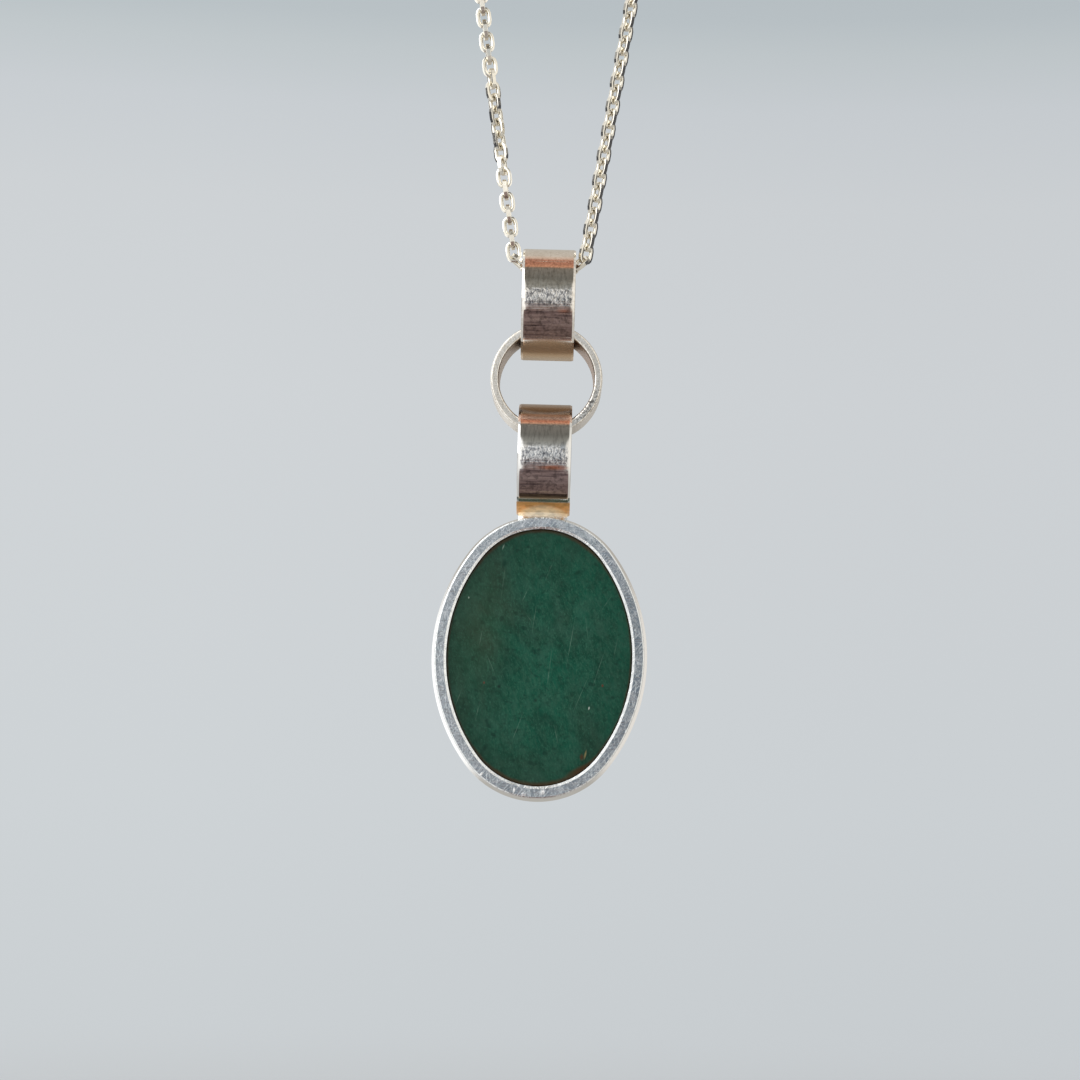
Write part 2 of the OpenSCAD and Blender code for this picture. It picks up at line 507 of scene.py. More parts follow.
def half_route():
    """The right half of the chain's middle line, from under the ring's middle up to the clasp."""
    top_r = chain_high.x - LINK_W / 2 - CHAIN_CLEAR
    top_z = clasp_z - top_r
    points = [Vector((0, 0, level_z))]
    for i in range(BEND_STEPS + 1):
        turn = (math.pi / 2 - STRAND_LEAN) * i / BEND_STEPS
        points.append(Vector((
            LEVEL_HALF + BEND_R * math.sin(turn), 0, level_z + BEND_R * (1 - math.cos(turn)))))
    eye_inner_x = EYE_X + EYE_R - 2 * EYE_WIRE_R
    first_turn = math.pi / 2 + STRAND_LEAN
    last_turn = math.asin(eye_inner_x / top_r)
    for i in range(ROUND_STEPS + 1):
        turn = first_turn + (last_turn - first_turn) * i / ROUND_STEPS
        points.append(Vector((top_r * math.sin(turn), 0, top_z + top_r * math.cos(turn))))
    # It hangs from the eye, a little below the round
    for point in points:
        near = max(0.0, 1 - (point.x - eye_inner_x) / EYE_SAG_REACH) if point.z > top_z else 0.0
        point.z -= EYE_SAG * near ** 2
    points[-1] = Vector((eye_inner_x, 0, clasp_z - EYE_DROP))
    return points


def walk(points, pitch):
    """Points at equal straight distances along a line, and the distance left over at its end."""
    found, here = [], points[0]
    for a, b in zip(points, points[1:]):
        while (b - here).length >= pitch:
            low, high = 0.0, 1.0
            for _ in range(HALVINGS):
                part = (low + high) / 2
                if (a.lerp(b, part) - here).length < pitch:
                    low = part
                else:
                    high = part
            a = here = a.lerp(b, high)
            found.append(here)
    return found, (points[-1] - here).length


def meeting_points():
    """Where links meet on the right half, the first one off the middle, fitted to end in the eye."""
    points = half_route()
    length = sum((b - a).length for a, b in zip(points, points[1:]))
    count = round(length / LINK_PITCH)
    low, high = (1 - PITCH_PLAY) * LINK_PITCH, (1 + PITCH_PLAY) * LINK_PITCH
    for _ in range(HALVINGS):
        pitch = (low + high) / 2
        found, left_over = walk(points, pitch)
        if len(found) > count or (len(found) == count and left_over > END_MARGIN):
            low = pitch
        else:
            high = pitch
    return found[:count], pitch


# How far each side of the chain is turned about its own length, by distance from the
# ring's middle: (distance in mm, degrees)
RIGHT_TWIST = [(0, 22), (4, 37), (60, 39), (120, 20), (222, 0)]
LEFT_TWIST = [
    (0, 22), (5, 90), (13.5, 94), (17.5, 128), (24, 142), (28.5, 176), (45, 185), (120, 200),
    (222, 180)]


def twist(table, distance):
    """How far the chain is turned at a distance along one side, from that side's table."""
    for (d0, t0), (d1, t1) in zip(table, table[1:]):
        if distance <= d1:
            return math.radians(t0 + (t1 - t0) * (distance - d0) / (d1 - d0))
    return math.radians(table[-1][1])


def link_places():
    """(centre, direction, side) of every link, from the left eye round to the right one."""
    right, pitch = meeting_points()
    left = [Vector((-p.x, p.y, p.z)) for p in reversed(right)]
    chain_points = [*left, Vector((0, 0, level_z)), *right]
    places = []
    for i, (a, b) in enumerate(zip(chain_points, chain_points[1:])):
        number = i - len(right)
        table = RIGHT_TWIST if number >= 0 else LEFT_TWIST
        # Every other link stands a quarter turn on from its neighbour
        turn = twist(table, abs(number + 0.5) * pitch / MM) + math.pi / 2 * (number % 2)
        aim = (b - a).normalized()
        places.append(((a + b) / 2, aim, Matrix.Rotation(turn, 3, aim) @ TO_BACK))
    return places, pitch


# Node trees

NODE_SPACE = 60
# The Mix node's sockets by number, because several of them share a name
MIX_PART = 0
MIX_FIRST = 2
MIX_SECOND = 3
MIX_FIRST_COLOUR = 6
MIX_SECOND_COLOUR = 7
MIX_COLOUR_GIVEN = 2


class Nodes:
    """A node tree, with short ways to add the nodes that it is made of."""

    def __init__(self, tree):
        self.tree = tree

    def add(self, kind, inputs, **settings):
        """A node with its settings; each input is a number, a colour or what another node gives."""
        node = self.tree.nodes.new(kind)
        node.location.x = NODE_SPACE * len(self.tree.nodes)
        for name, value in settings.items():
            setattr(node, name, value)
        for key, value in inputs.items():
            self.feed(node.inputs[key], value)
        return node

    def feed(self, socket, value):
        """Links what another node gives to an input, or sets the input's own value."""
        if isinstance(value, Amount):
            self.tree.links.new(value.socket, socket)
        elif socket.type == "RGBA":
            socket.default_value = (*value, 1)
        else:
            socket.default_value = value

    def give(self, kind, inputs, output=0, **settings):
        """What a new node gives at one of its outputs."""
        return Amount(self, self.add(kind, inputs, **settings).outputs[output])

    def reckon(self, way, *values):
        """What a Math node makes of its values."""
        return self.give("ShaderNodeMath", dict(enumerate(values)), operation=way)

    def length(self, where):
        """How far a place is from where its coordinates start."""
        return self.give("ShaderNodeVectorMath", {0: where}, "Value", operation="LENGTH")

    def axes(self, where):
        """The three parts of a place or a direction."""
        return [Amount(self, part) for part in self.add("ShaderNodeSeparateXYZ", {0: where}).outputs]

    def fade(self, value, none, full, strength=1.0, way="LINEAR"):
        """0 where the value is `none` or past it, strength where it is `full` or past that."""
        span = {"Value": value, "From Min": none, "From Max": full, "To Max": strength}
        return self.give("ShaderNodeMapRange", span, interpolation_type=way)

    def ramp(self, value, stops, way="LINEAR"):
        """A colour or tone by value; stops are (value, grey or colour)."""
        node = self.add("ShaderNodeValToRGB", {"Fac": value})
        band = node.color_ramp
        band.interpolation = way
        while len(band.elements) < len(stops):
            band.elements.new(stops[-1][0])
        for element, (place, tone) in zip(band.elements, stops):
            element.position = place
            element.color = (*tone, 1) if isinstance(tone, tuple) else (tone, tone, tone, 1)
        return Amount(self, node.outputs["Color"])

    def mix(self, amount, first, second, way="MIX"):
        """Part of one colour and part of another, or the one blended with the other."""
        inputs = {MIX_PART: amount, MIX_FIRST_COLOUR: first, MIX_SECOND_COLOUR: second}
        return self.give("ShaderNodeMix", inputs, MIX_COLOUR_GIVEN, data_type="RGBA", blend_type=way)

    def blend(self, amount, first, second):
        """Part of one height and part of another."""
        return self.give("ShaderNodeMix", {MIX_PART: amount, MIX_FIRST: first, MIX_SECOND: second})


class Amount:
    """What a node gives, which can be reckoned with like a number."""

    def __init__(self, nodes, socket):
        self.nodes = nodes
        self.socket = socket

    def __add__(self, other):
        return self.nodes.reckon("ADD", self, other)

    def __sub__(self, other):
        return self.nodes.reckon("SUBTRACT", self, other)

    def __rsub__(self, number):
        return self.nodes.reckon("SUBTRACT", number, self)

    def __mul__(self, other):
        return self.nodes.reckon("MULTIPLY", self, other)

    def __truediv__(self, other):
        return self.nodes.reckon("DIVIDE", self, other)

    def __pow__(self, power):
        return self.nodes.reckon("POWER", self, power)

    def __neg__(self):
        return self * -1.0

    def __abs__(self):
        return self.nodes.reckon("ABSOLUTE", self)

    def or_more(self, other):
        return self.nodes.reckon("MAXIMUM", self, other)

    def or_less(self, other):
        return self.nodes.reckon("MINIMUM", self, other)

    def below(self, limit):
        return self.nodes.reckon("LESS_THAN", self, limit)


# The inputs of the links' tree: name, kind and usual value
LINK_INPUTS = (
    ("Places", "Geometry", None),
    ("Link length", "Float", LINK_PITCH + 2 * LINK_THICK),
    ("Link width", "Float", LINK_W),
    ("Wire radius", "Float", LINK_WIRE_R),
    ("Flat", "Float", LINK_FLAT),
    ("Squareness", "Float", LINK_SQUARENESS),
    ("Bends", "Int", LINK_BENDS),
    ("Finish", "Material", None),
)


def links_tree():
    """Geometry Nodes: an anchor link, bent from wire, at every point, turned by its attributes."""
    tree = bpy.data.node_groups.new("Anchor links", "GeometryNodeTree")
    for name, kind, usual in LINK_INPUTS:
        socket = tree.interface.new_socket(name, in_out="INPUT", socket_type="NodeSocket" + kind)
        if usual is not None:
            socket.default_value = usual
    tree.interface.new_socket("Links", in_out="OUTPUT", socket_type="NodeSocketGeometry")
    made = Nodes(tree)
    sockets = made.add("NodeGroupInput", {}).outputs
    given = {name: Amount(made, sockets[name]) for name, _, _ in LINK_INPUTS}

    # The link's middle line: a circle pulled out towards a rounded rectangle
    circle = made.give("GeometryNodeCurvePrimitiveCircle", {"Resolution": given["Bends"], "Radius": 1.0})
    along, across, _ = made.axes(made.give("GeometryNodeInputPosition", {}))

    def pulled(part, size):
        """The part's sign, times its size to the power of squareness, times half the link inside."""
        square = abs(part) ** given["Squareness"]
        return square * made.reckon("SIGN", part) * (size * 0.5 - given["Flat"])

    bent = made.give("ShaderNodeCombineXYZ", {
        "X": pulled(along, given["Link length"]), "Y": pulled(across, given["Link width"])})
    line = made.give("GeometryNodeSetPosition", {"Geometry": circle, "Position": bent})

    # The wire round it: round, but ground flat on the link's outside
    start = made.reckon("ARCCOSINE", given["Flat"] / given["Wire radius"])
    arc = made.give("GeometryNodeCurveArc", {
        "Resolution": LINK_WIRE_SIDES,
        "Radius": given["Wire radius"],
        "Start Angle": start,
        "Sweep Angle": 2 * math.pi - start * 2.0,
    }, mode="RADIUS")
    wire = made.give("GeometryNodeSetSplineCyclic", {0: arc, "Cyclic": True})
    link = made.give("GeometryNodeCurveToMesh", {"Curve": line, "Profile Curve": wire})

    # One at every point: X along the chain, Y to the side
    def written(name):
        return made.give("GeometryNodeInputNamedAttribute", {"Name": name}, data_type="FLOAT_VECTOR")

    aimed = made.give("FunctionNodeAlignRotationToVector", {"Vector": written("aim")}, axis="X")
    turned = made.give("FunctionNodeAlignRotationToVector", {
        "Rotation": aimed, "Vector": written("side")}, axis="Y", pivot_axis="X")
    placed = made.give(
        "GeometryNodeInstanceOnPoints", {"Points": given["Places"], "Instance": link, "Rotation": turned})
    real = made.give("GeometryNodeRealizeInstances", {"Geometry": placed})
    finished = made.give("GeometryNodeSetMaterial", {"Geometry": real, "Material": given["Finish"]})
    made.add("NodeGroupOutput", {"Links": finished})
    return tree


def set_inputs(modifier, values):
    """Sets a modifier's inputs, given by name, by their identifiers."""
    for item in modifier.node_group.interface.items_tree:
        if item.item_type == "SOCKET" and item.in_out == "INPUT" and item.name in values:
            modifier[item.identifier] = values[item.name]


def chain_piece(finish):
    """The whole loop of links as one plain mesh."""
    places, pitch = link_places()
    mesh = bpy.data.meshes.new("link_places")
    mesh.from_pydata([tuple(place[0]) for place in places], [], [])
    for name, column in (("aim", 1), ("side", 2)):
        attribute = mesh.attributes.new(name, "FLOAT_VECTOR", "POINT")
        for datum, place in zip(attribute.data, places):
            datum.vector = place[column]
    holder = in_scene("link_places", mesh)
    modifier = holder.modifiers.new("links", "NODES")
    modifier.node_group = links_tree()
    # The flanks are the two bends' stretches nearest to the link's full width
    flank = math.cos(math.pi / LINK_BENDS) ** LINK_SQUARENESS
    set_inputs(modifier, {
        "Link length": pitch + 2 * LINK_THICK - LINK_OVERLAP,
        "Link width": 2 * ((LINK_W / 2 - LINK_FLAT) / flank + LINK_FLAT),
        "Wire radius": LINK_WIRE_R,
        "Flat": LINK_FLAT,
        "Squareness": LINK_SQUARENESS,
        "Bends": LINK_BENDS,
        "Finish": finish,
    })
    piece = in_scene("anchor_chain", evaluated_copy(holder))
    bpy.data.objects.remove(holder)
    piece.data.name = "anchor_chain"
    piece.data.set_sharp_from_angle(angle=LINK_CREASE)
    keep_flats_flat(piece.data)
    return piece


def keep_flats_flat(mesh):
    """Keeps a crease where the ground outside of a link turns, so that each part of it stays flat."""
    normals = {}
    for polygon in mesh.polygons:
        if polygon.index % LINK_WIRE_SIDES == LINK_WIRE_SIDES - 1:
            for key in polygon.edge_keys:
                normals.setdefault(key, []).append(polygon.normal.copy())
    for edge in mesh.edges:
        pair = normals.get(edge.key, [])
        if len(pair) == 2 and pair[0].angle(pair[1]) > FLAT_CREASE:
            edge.use_edge_sharp = True


# Finishes

# A window's values lie within this many mm of 0, and a mark is whole this part of the way out
WINDOW_REACH = 8.0
MARK_CORE = 0.25
# Depths and heights of relief are in thousandths of a millimetre
RELIEF_UNIT = 0.001 * MM

# An unevenness that is drawn by noise: its scale, detail, roughness and swirl, the turn and stretch
# of what it is drawn on, and whether that is the piece's own map rather than plain millimetres
Grain = namedtuple(
    "Grain", "scale detail rough swirl turn stretch on_map",
    defaults=(4.0, 0.55, 0.0, 0.0, (1, 1, 1), False))


class Finish(Nodes):
    """A procedural material, with ways to place and shape the marks on it."""

    def __init__(self, name):
        self.material = bpy.data.materials.new(name)
        self.material.use_nodes = True
        super().__init__(self.material.node_tree)
        self.shader = self.tree.nodes["Principled BSDF"]

    def mapped(self, kind, *steps):
        """A kind of coordinates, taken through Mapping nodes."""
        where = self.give("ShaderNodeTexCoord", {}, kind)
        for step in steps:
            where = self.give("ShaderNodeMapping", {"Vector": where, **step})
        return where

    def millimetres(self, turn=0.0, stretch=(1, 1, 1), centre=(0, 0, 0)):
        """Object coordinates in millimetres from centre, turned about Y, then stretched."""
        return self.mapped(
            "Object",
            {"Location": [-c / MM for c in centre], "Scale": (1 / MM,) * 3},
            {"Rotation": (0, turn, 0)},
            {"Scale": stretch})

    def surface(self, turn, stretch):
        """The piece's own map, along the sweep and round its section, turned, then stretched."""
        return self.mapped("UV", {"Rotation": (0, 0, turn)}, {"Scale": stretch})

    def backwards(self):
        """Which way the surface faces: 1 to the back, 0 to a side, -1 to the front."""
        return self.axes(self.give("ShaderNodeTexCoord", {}, "Normal"))[1]

    def marked(self, name):
        """A number that was written on the mesh's points."""
        return self.give("ShaderNodeAttribute", {}, "Fac", attribute_name=name)

    def unmarked(self, name):
        """1 where the points around mostly carry a 0."""
        return self.marked(name).below(0.5)

    def noise(self, grain, centre=(0, 0, 0)):
        """The noise that draws a grain, from 0 to 1."""
        if grain.on_map:
            where = self.surface(grain.turn, grain.stretch)
        else:
            where = self.millimetres(grain.turn, grain.stretch, centre)
        return self.give("ShaderNodeTexNoise", {
            "Vector": where,
            "Scale": grain.scale,
            "Detail": grain.detail,
            "Roughness": grain.rough,
            "Distortion": grain.swirl,
        }, "Fac")

    def turned(self, grain, turns):
        """The noise that draws a grain, once at each turn."""
        return [self.noise(grain._replace(turn=turn)) for turn in turns]

    def scratches(self, grain, turns, thin):
        """Fine lines that run at each turn, as one tone: 1 on a line, 0 off it."""
        stops = [(0.5 - thin, 0.0), (0.5, 1.0), (0.5 + thin, 0.0)]
        return strongest([self.ramp(noise, stops) for noise in self.turned(grain, turns)])

    def window(self, value, stretch):
        """1 where a value in mm lies between low and high, falling to 0 over `soft` either side."""
        low, high, soft = stretch

        def share(mm):
            return (mm + WINDOW_REACH) * (0.5 / WINDOW_REACH)

        places = (low - soft, low, high, high + soft)
        return self.ramp(share(value), list(zip(map(share, places), (0.0, 1.0, 1.0, 0.0))), "EASE")

    def on_front(self, stretch):
        """1 on the front of an edge-on band, over a stretch of its height."""
        return self.window(self.marked("height"), stretch) * self.marked("front")

    def mark(self, place, strength=1.0):
        """One mark that is seen from the front: whole along its middle, 0 at its ends and sides.

        The place is ((across, up), lean, half length, half width), in mm from the stone's centre
        and in degrees that the mark's upright length leans to the right.
        """
        (across, up), lean, half_length, half_width = place
        centre = oval_centre + (ACROSS * across + UP * up) * MM
        where = self.millimetres(-math.radians(lean), (1 / half_width, 0, 1 / half_length), centre)
        return self.fade(self.length(where), 1.0, MARK_CORE, strength)

    def into(self, name, value):
        """Puts what a node gives, or one number or colour, on one of the shader's own inputs."""
        self.feed(self.shader.inputs[name], value)

    def bump(self, height):
        """Relief from a height in relief units."""
        self.into("Normal", self.give("ShaderNodeBump", {"Distance": RELIEF_UNIT, "Height": height}))


def strongest(tones):
    """The most of several tones at every point."""
    total, *others = tones
    for tone in others:
        total = total.or_more(tone)
    return total


def even(noise, depth):
    """Relief of a noise that rises and falls evenly about its middle."""
    return (noise - 0.5) * depth


def srgb(red, green, blue):
    """A colour given in 0 to 255 display values, in linear light."""
    def straight(v):
        v /= 255
        return v / 12.92 if v <= 0.04045 else ((v + 0.055) / 1.055) ** 2.4
    return tuple(straight(v) for v in (red, green, blue))


WHITE = (1.0, 1.0, 1.0)

# The wear of a band. Stretches of an edge-on band's front are mm above the ring's middle (low,
# high), and the mm over which each ends. Tones multiply the silver's colour, by the noise.
DENTED = (-1.0, 0.5, 0.4)
RIBBED = (-4.4, -1.1, 0.5)
PATCHY = (-4.4, 1.0, 0.5)
COMBED = (0.4, 3.2, 0.5)
SPECKLED = (3.4, 4.4, 0.4)
RUBBED = (-1.0, 0.8, 2.6)
# Where a painted copper reflection lies across the lower ring's front
COPPER_REFLECTION_STRETCH = (3.9, 4.7, 0.25)
# The strip along a band's edge that is rubbed smooth: mm off the band's middle
SMOOTH_STRIP = (2.82, 2.6)
BAND_LINES = Grain(5.0, 3.0, 0.7, stretch=(10, 0.25, 1), on_map=True)
LINES_DEEP = 3.0
BAND_DENTS = Grain(9.0, 2.5, 0.6, stretch=(2.6, 3.4, 1), on_map=True)
DENTS_DEEP = 42.0
BAND_RIBS = Grain(5.0, 3.0, 0.65, stretch=(8.5, 0.22, 1), on_map=True)
RIBS_DEEP = 40.0
BAND_NICKS = Grain(3.0, 2.0, 0.5, stretch=(1.1, 4.0, 1), on_map=True)
NICKS_DEEP = 2.0
BAND_NICK_TURNS = (0.0, 0.35, -0.5)
BAND_NICK_THIN = 0.04
BAND_PATCHES = Grain(1.7, 5.0, 0.7)
BAND_COMBING = Grain(5.0, 4.0, 0.7, stretch=(1.6, 7.0, 1), on_map=True)
BAND_SPECKS = Grain(4.0, 3.0, 0.7)
DENT_TONES = [(0.37, (0.26, 0.27, 0.3)), (0.46, (0.7, 0.7, 0.72)), (0.55, WHITE)]
RIB_TONES = [(0.36, (0.42, 0.4, 0.43)), (0.47, (0.86, 0.84, 0.86)), (0.56, WHITE)]
PATCH_TONES = [(0.4, 0.55), (0.52, 1.0)]
COMB_TONES = [(0.4, 0.72), (0.5, 0.96), (0.62, 1.0)]
SPECK_TONES = [(0.4, 0.66), (0.55, 1.0)]
# Tarnish, and painted shade where the rings meet: mm from the middle ring's centre where what faces into
# its opening is clear and where it is tarnished and shaded whole, then how much shine the tarnish takes,
# and how rough it is
OPENING = (6.7, 5.6)
BORE_DULLS = 0.4
OPENING_DULLS = 0.3
GRIME_ROUGH = 0.6
BORE_TARNISH = srgb(150, 132, 114)
# The colour of a painted orange reflection
ORANGE_REFLECTION_COLOUR = srgb(255, 176, 128)


def between_rings(made):
    """1 on what faces into the middle ring's opening, where tarnish and painted shade darken the silver.
    """
    return made.fade(made.length(made.millimetres(centre=link_centre)), *OPENING, way="SMOOTHSTEP")


def band_wear(made, whole_half, worn_depth):
    """Relief and tone of the wear on a band.

    Fine lines run across every band. An edge-on one is dented where it faces front, ribbed
    below that, and rubbed down along the edges there, from whole_half mm out of its middle, by
    worn_depth at the very edge.
    """
    off_middle = abs(made.axes(made.millimetres())[0])
    inland = made.fade(off_middle, *SMOOTH_STRIP)
    lined = inland.or_more(made.unmarked("front"))
    relief = even(made.noise(BAND_LINES), LINES_DEEP) * lined

    dented = made.on_front(DENTED) * inland
    dents = made.noise(BAND_DENTS)
    nicks = made.scratches(BAND_NICKS, BAND_NICK_TURNS, BAND_NICK_THIN)
    relief = relief + (even(dents, DENTS_DEEP) + nicks * NICKS_DEEP) * dented
    ribbed = made.on_front(RIBBED) * inland
    ribs = made.noise(BAND_RIBS)
    relief = relief + even(ribs, RIBS_DEEP) * ribbed
    near_edge = made.fade(off_middle, whole_half, HALF_BAND / MM)
    relief = relief - near_edge ** 2.0 * worn_depth * made.on_front(RUBBED)

    tone = made.mix(ribbed, WHITE, made.ramp(ribs, RIB_TONES))
    for where, noise, tones in (
        (made.on_front(PATCHY) * inland, made.noise(BAND_PATCHES), PATCH_TONES),
        (made.on_front(COMBED) * inland, made.noise(BAND_COMBING), COMB_TONES),
        (made.on_front(SPECKLED), made.noise(BAND_SPECKS), SPECK_TONES),
        (dented, dents, DENT_TONES),
    ):
        tone = made.mix(where, tone, made.ramp(noise, tones), "MULTIPLY")
    return relief, tone


def painted_orange_reflection(made, colour, place, strength):
    """The colour with a painted orange reflection on an edge-on band's front."""
    return made.mix(made.mark(place) * made.marked("front") * strength, colour, ORANGE_REFLECTION_COLOUR)


# The two loose rings. They are whole this many mm off a band's middle and worn this deep at its
# edge. A span is where a noise or a direction starts to show, where it shows whole, and how
# strongly. Places of marks are as in Finish.mark, from the stone's centre.
RING_WHOLE_HALF = 2.2
RING_WORN = 75.0
# The middle ring's faces are worn past this many mm from their middle, steeper and steeper, to a most
FACE_FLAT = 0.2
FACE_WORN = 700.0
FACE_WORN_MOST = 60.0
RING_CLOUD = Grain(0.5, 3.0)
CLOUD_SPAN = (0.35, 0.75)
RING_MOTTLE = Grain(3.0, 5.0, 0.7)
MOTTLE_SPAN = (0.46, 0.62, 0.55)
RING_SPECKLE = Grain(4.5, 4.0, 0.75)
SPECKLE_SPAN = (0.46, 0.64, 0.7)
RING_POCKS = Grain(3.2, 4.0, 0.7)
POCK_SPAN = (0.52, 0.44)
ROUND_SIDE_SHADE_SPAN = (0.8, 0.5)
# Painted shade darkens the rings on the right, in the bores and on the middle ring's round side: mm off
# the middle
RING_SHADE_RIGHT = (-2.8, 2.8)
POCKED_PATCH = ((4.4, 29.4), 40, 3.6, 1.9)
# A painted orange reflection on the upper ring's front
UPPER_ORANGE_REFLECTION = ((1.9, 39.8), 0, 0.34, 1.1)
UPPER_ORANGE_REFLECTION_STRENGTH = 0.5
RING_ROUGH = 0.035
CLOUD_ROUGH = 0.03
UNRUBBED_ROUGH = 0.12
RING_BRIGHT = srgb(252, 248, 242)
RING_CLOUDED = srgb(240, 234, 225)
RING_MOTTLED = srgb(208, 199, 184)
RING_DULL = srgb(186, 176, 160)
RING_TARNISH_AND_SHADE = srgb(214, 190, 160)
RING_ROUND_SIDE_SHADE = srgb(194, 191, 188)
POCKS = srgb(96, 92, 90)
BORE_TARNISH_SHADED = srgb(150, 114, 80)
BORE_DARK = srgb(96, 78, 63)


def face_rounding(made):
    """How deep the middle ring's faces are worn down at their outer and inner edges."""
    middle = (RING_R + BORE_R) / 2 / MM
    off_middle = abs(made.length(made.millimetres(0.0, (1, 0, 1), link_centre)) - middle)
    past_flat = (off_middle - FACE_FLAT).or_more(0.0)
    return (past_flat ** 2.0 * FACE_WORN).or_less(FACE_WORN_MOST) * made.marked("face_on")


def ring_silver():
    """Worn silver band, dull and mottled where it isn't rubbed, with brown tarnish inside, painted shade
    on the right and where the rings meet, and a painted orange reflection.
    """
    made = Finish("Worn ring silver")
    relief, tone = band_wear(made, RING_WHOLE_HALF, RING_WORN)
    bore = made.marked("bore")
    face_on = made.marked("face_on")
    unrubbed = made.unmarked("front")
    shade_to_right = made.fade(made.axes(made.millimetres())[0], *RING_SHADE_RIGHT)
    cloud = made.fade(made.noise(RING_CLOUD), *CLOUD_SPAN)
    mottle = made.fade(made.noise(RING_MOTTLE), *MOTTLE_SPAN)
    speckle = made.fade(made.noise(RING_SPECKLE), *SPECKLE_SPAN)

    silver = made.mix(mottle, made.mix(cloud, RING_BRIGHT, RING_CLOUDED), RING_MOTTLED)
    silver = made.mix(speckle * unrubbed, silver, RING_DULL)
    # Tarnish and painted shade where the rings meet
    tarnish_and_shade_between = between_rings(made) * (1.0 - face_on)
    silver = made.mix(tarnish_and_shade_between, silver, RING_TARNISH_AND_SHADE)
    # Painted shade on the right of the middle ring's round outer side
    round_side_shade = made.fade(abs(made.backwards()), *ROUND_SIDE_SHADE_SPAN) * face_on * shade_to_right
    silver = made.mix(round_side_shade, silver, RING_ROUND_SIDE_SHADE, "MULTIPLY")
    # Paints an orange reflection on the upper ring's front
    silver = painted_orange_reflection(made, silver, UPPER_ORANGE_REFLECTION, UPPER_ORANGE_REFLECTION_STRENGTH)
    silver = made.mix(1.0, silver, tone, "MULTIPLY")
    pocked = made.fade(made.noise(RING_POCKS), *POCK_SPAN) * made.mark(POCKED_PATCH) * face_on
    silver = made.mix(pocked, silver, POCKS)
    # Inside is brown tarnish, painted darker and browner on the right as shade
    inside = made.mix(mottle, made.mix(shade_to_right, BORE_TARNISH, BORE_TARNISH_SHADED), BORE_DARK)
    made.into("Base Color", made.mix(bore, silver, inside))

    grime = (tarnish_and_shade_between * OPENING_DULLS).or_more(bore * BORE_DULLS)
    made.into("Metallic", 1.0 - grime)
    skin = grime * GRIME_ROUGH + unrubbed * UNRUBBED_ROUGH
    made.into("Roughness", cloud * CLOUD_ROUGH + RING_ROUGH + skin)
    made.bump(relief - face_rounding(made))
    return made.material


# The setting: its frame, the ring on top of it and the solder between them
SETTING_WHOLE_HALF = 1.8
SETTING_WORN = 105.0
FACE_SPAN = (0.8, 0.9)
BACK_SPAN = (0.8, 0.95)
FRAME_CLOUD = Grain(0.4, 3.0)
BACK_BRUSHING = Grain(3.0, 4.0, 0.65, turn=0.35, stretch=(0.12, 1, 3.0))
BRUSH_SPAN = (0.6, 0.4, 0.5)
FRAME_PITS = Grain(1.5, 5.0, 0.6, 0.4)
PIT_SPAN = (0.44, 0.6, 0.6)
PAINTED_GLINT_GRAIN = Grain(3.2, 4.0, 0.7, stretch=(2.4, 1, 0.7))
PAINTED_GLINT_SPAN = (0.58, 0.68, 0.75)
PAINTED_GLINT_TURNS = (0.6, -0.7)
# A painted highlight on the lip's slope, told by how far forwards it faces
LIP_HIGHLIGHT_TONES = [(0.9, 0.0), (0.95, 0.75), (0.985, 0.75), (0.995, 0.0)]
# Painted shade darkens the frame on the right: mm off the middle
FRAME_SHADE_RIGHT = (3.9, 10.4)
# Relief of the frame: scratches at four turns, grain and swells. The last two numbers are the
# share of it that shows off the face, and how much more shows on the face.
FRAME_SCRATCHES = Grain(1.0, 2.0, 0.5, stretch=(2.0, 1, 0.25))
SCRATCHES_DEEP = 9.0
SCRATCH_TURNS = (0.2, 0.9, 1.6, 2.4)
SCRATCH_THIN = 0.05
FRAME_GRAIN = Grain(2.5, 5.0, 0.7, turn=0.5, stretch=(1.6, 1, 1.2))
GRAIN_DEEP = 6.0
FRAME_SWELLS = Grain(0.7, 3.0, 0.5)
SWELLS_DEEP = 28.0
BRUSH_DEEP = 9.0
NICK_HIGH = 14.0
OFF_FACE = 0.108
ON_FACE = 0.9
FRAME_NICKS = [
    ((-2.5, -15.35), 8, 0.45, 0.12),
    ((0.85, -15.45), 40, 0.5, 0.34),
    ((-1.4, -15.8), -20, 0.3, 0.3),
    ((-6.3, -13.6), 30, 0.35, 0.16),
    ((-4.6, 13.1), 50, 0.3, 0.14),
    ((10.2, -8.4), 10, 0.4, 0.1),
]
# A painted orange reflection on the lower ring's front
LOWER_ORANGE_REFLECTION = ((0.95, 21.6), 0, 0.34, 2.1)
LOWER_ORANGE_REFLECTION_STRENGTH = 0.8
# Where the ring begins above the frame, and where a dark band and the solder lie: mm above the ring's foot
# and off the middle, and the mm over which each ends
RING_BEGINS = (0.0, 0.4)
FOOT_BAND_UP = (1.62, 2.04, 0.1)
FOOT_BAND_ACROSS = (0.0, 2.7, 0.12)
FOOT_BAND_STRENGTH = 0.9
SEAM_UP = (-1.0, 0.4, 0.15)
SEAM_ACROSS = (0.0, 2.88, 0.06)
SEAM_FACES = 0.6
FLOW_UP = (-0.2, 1.15, 0.15)
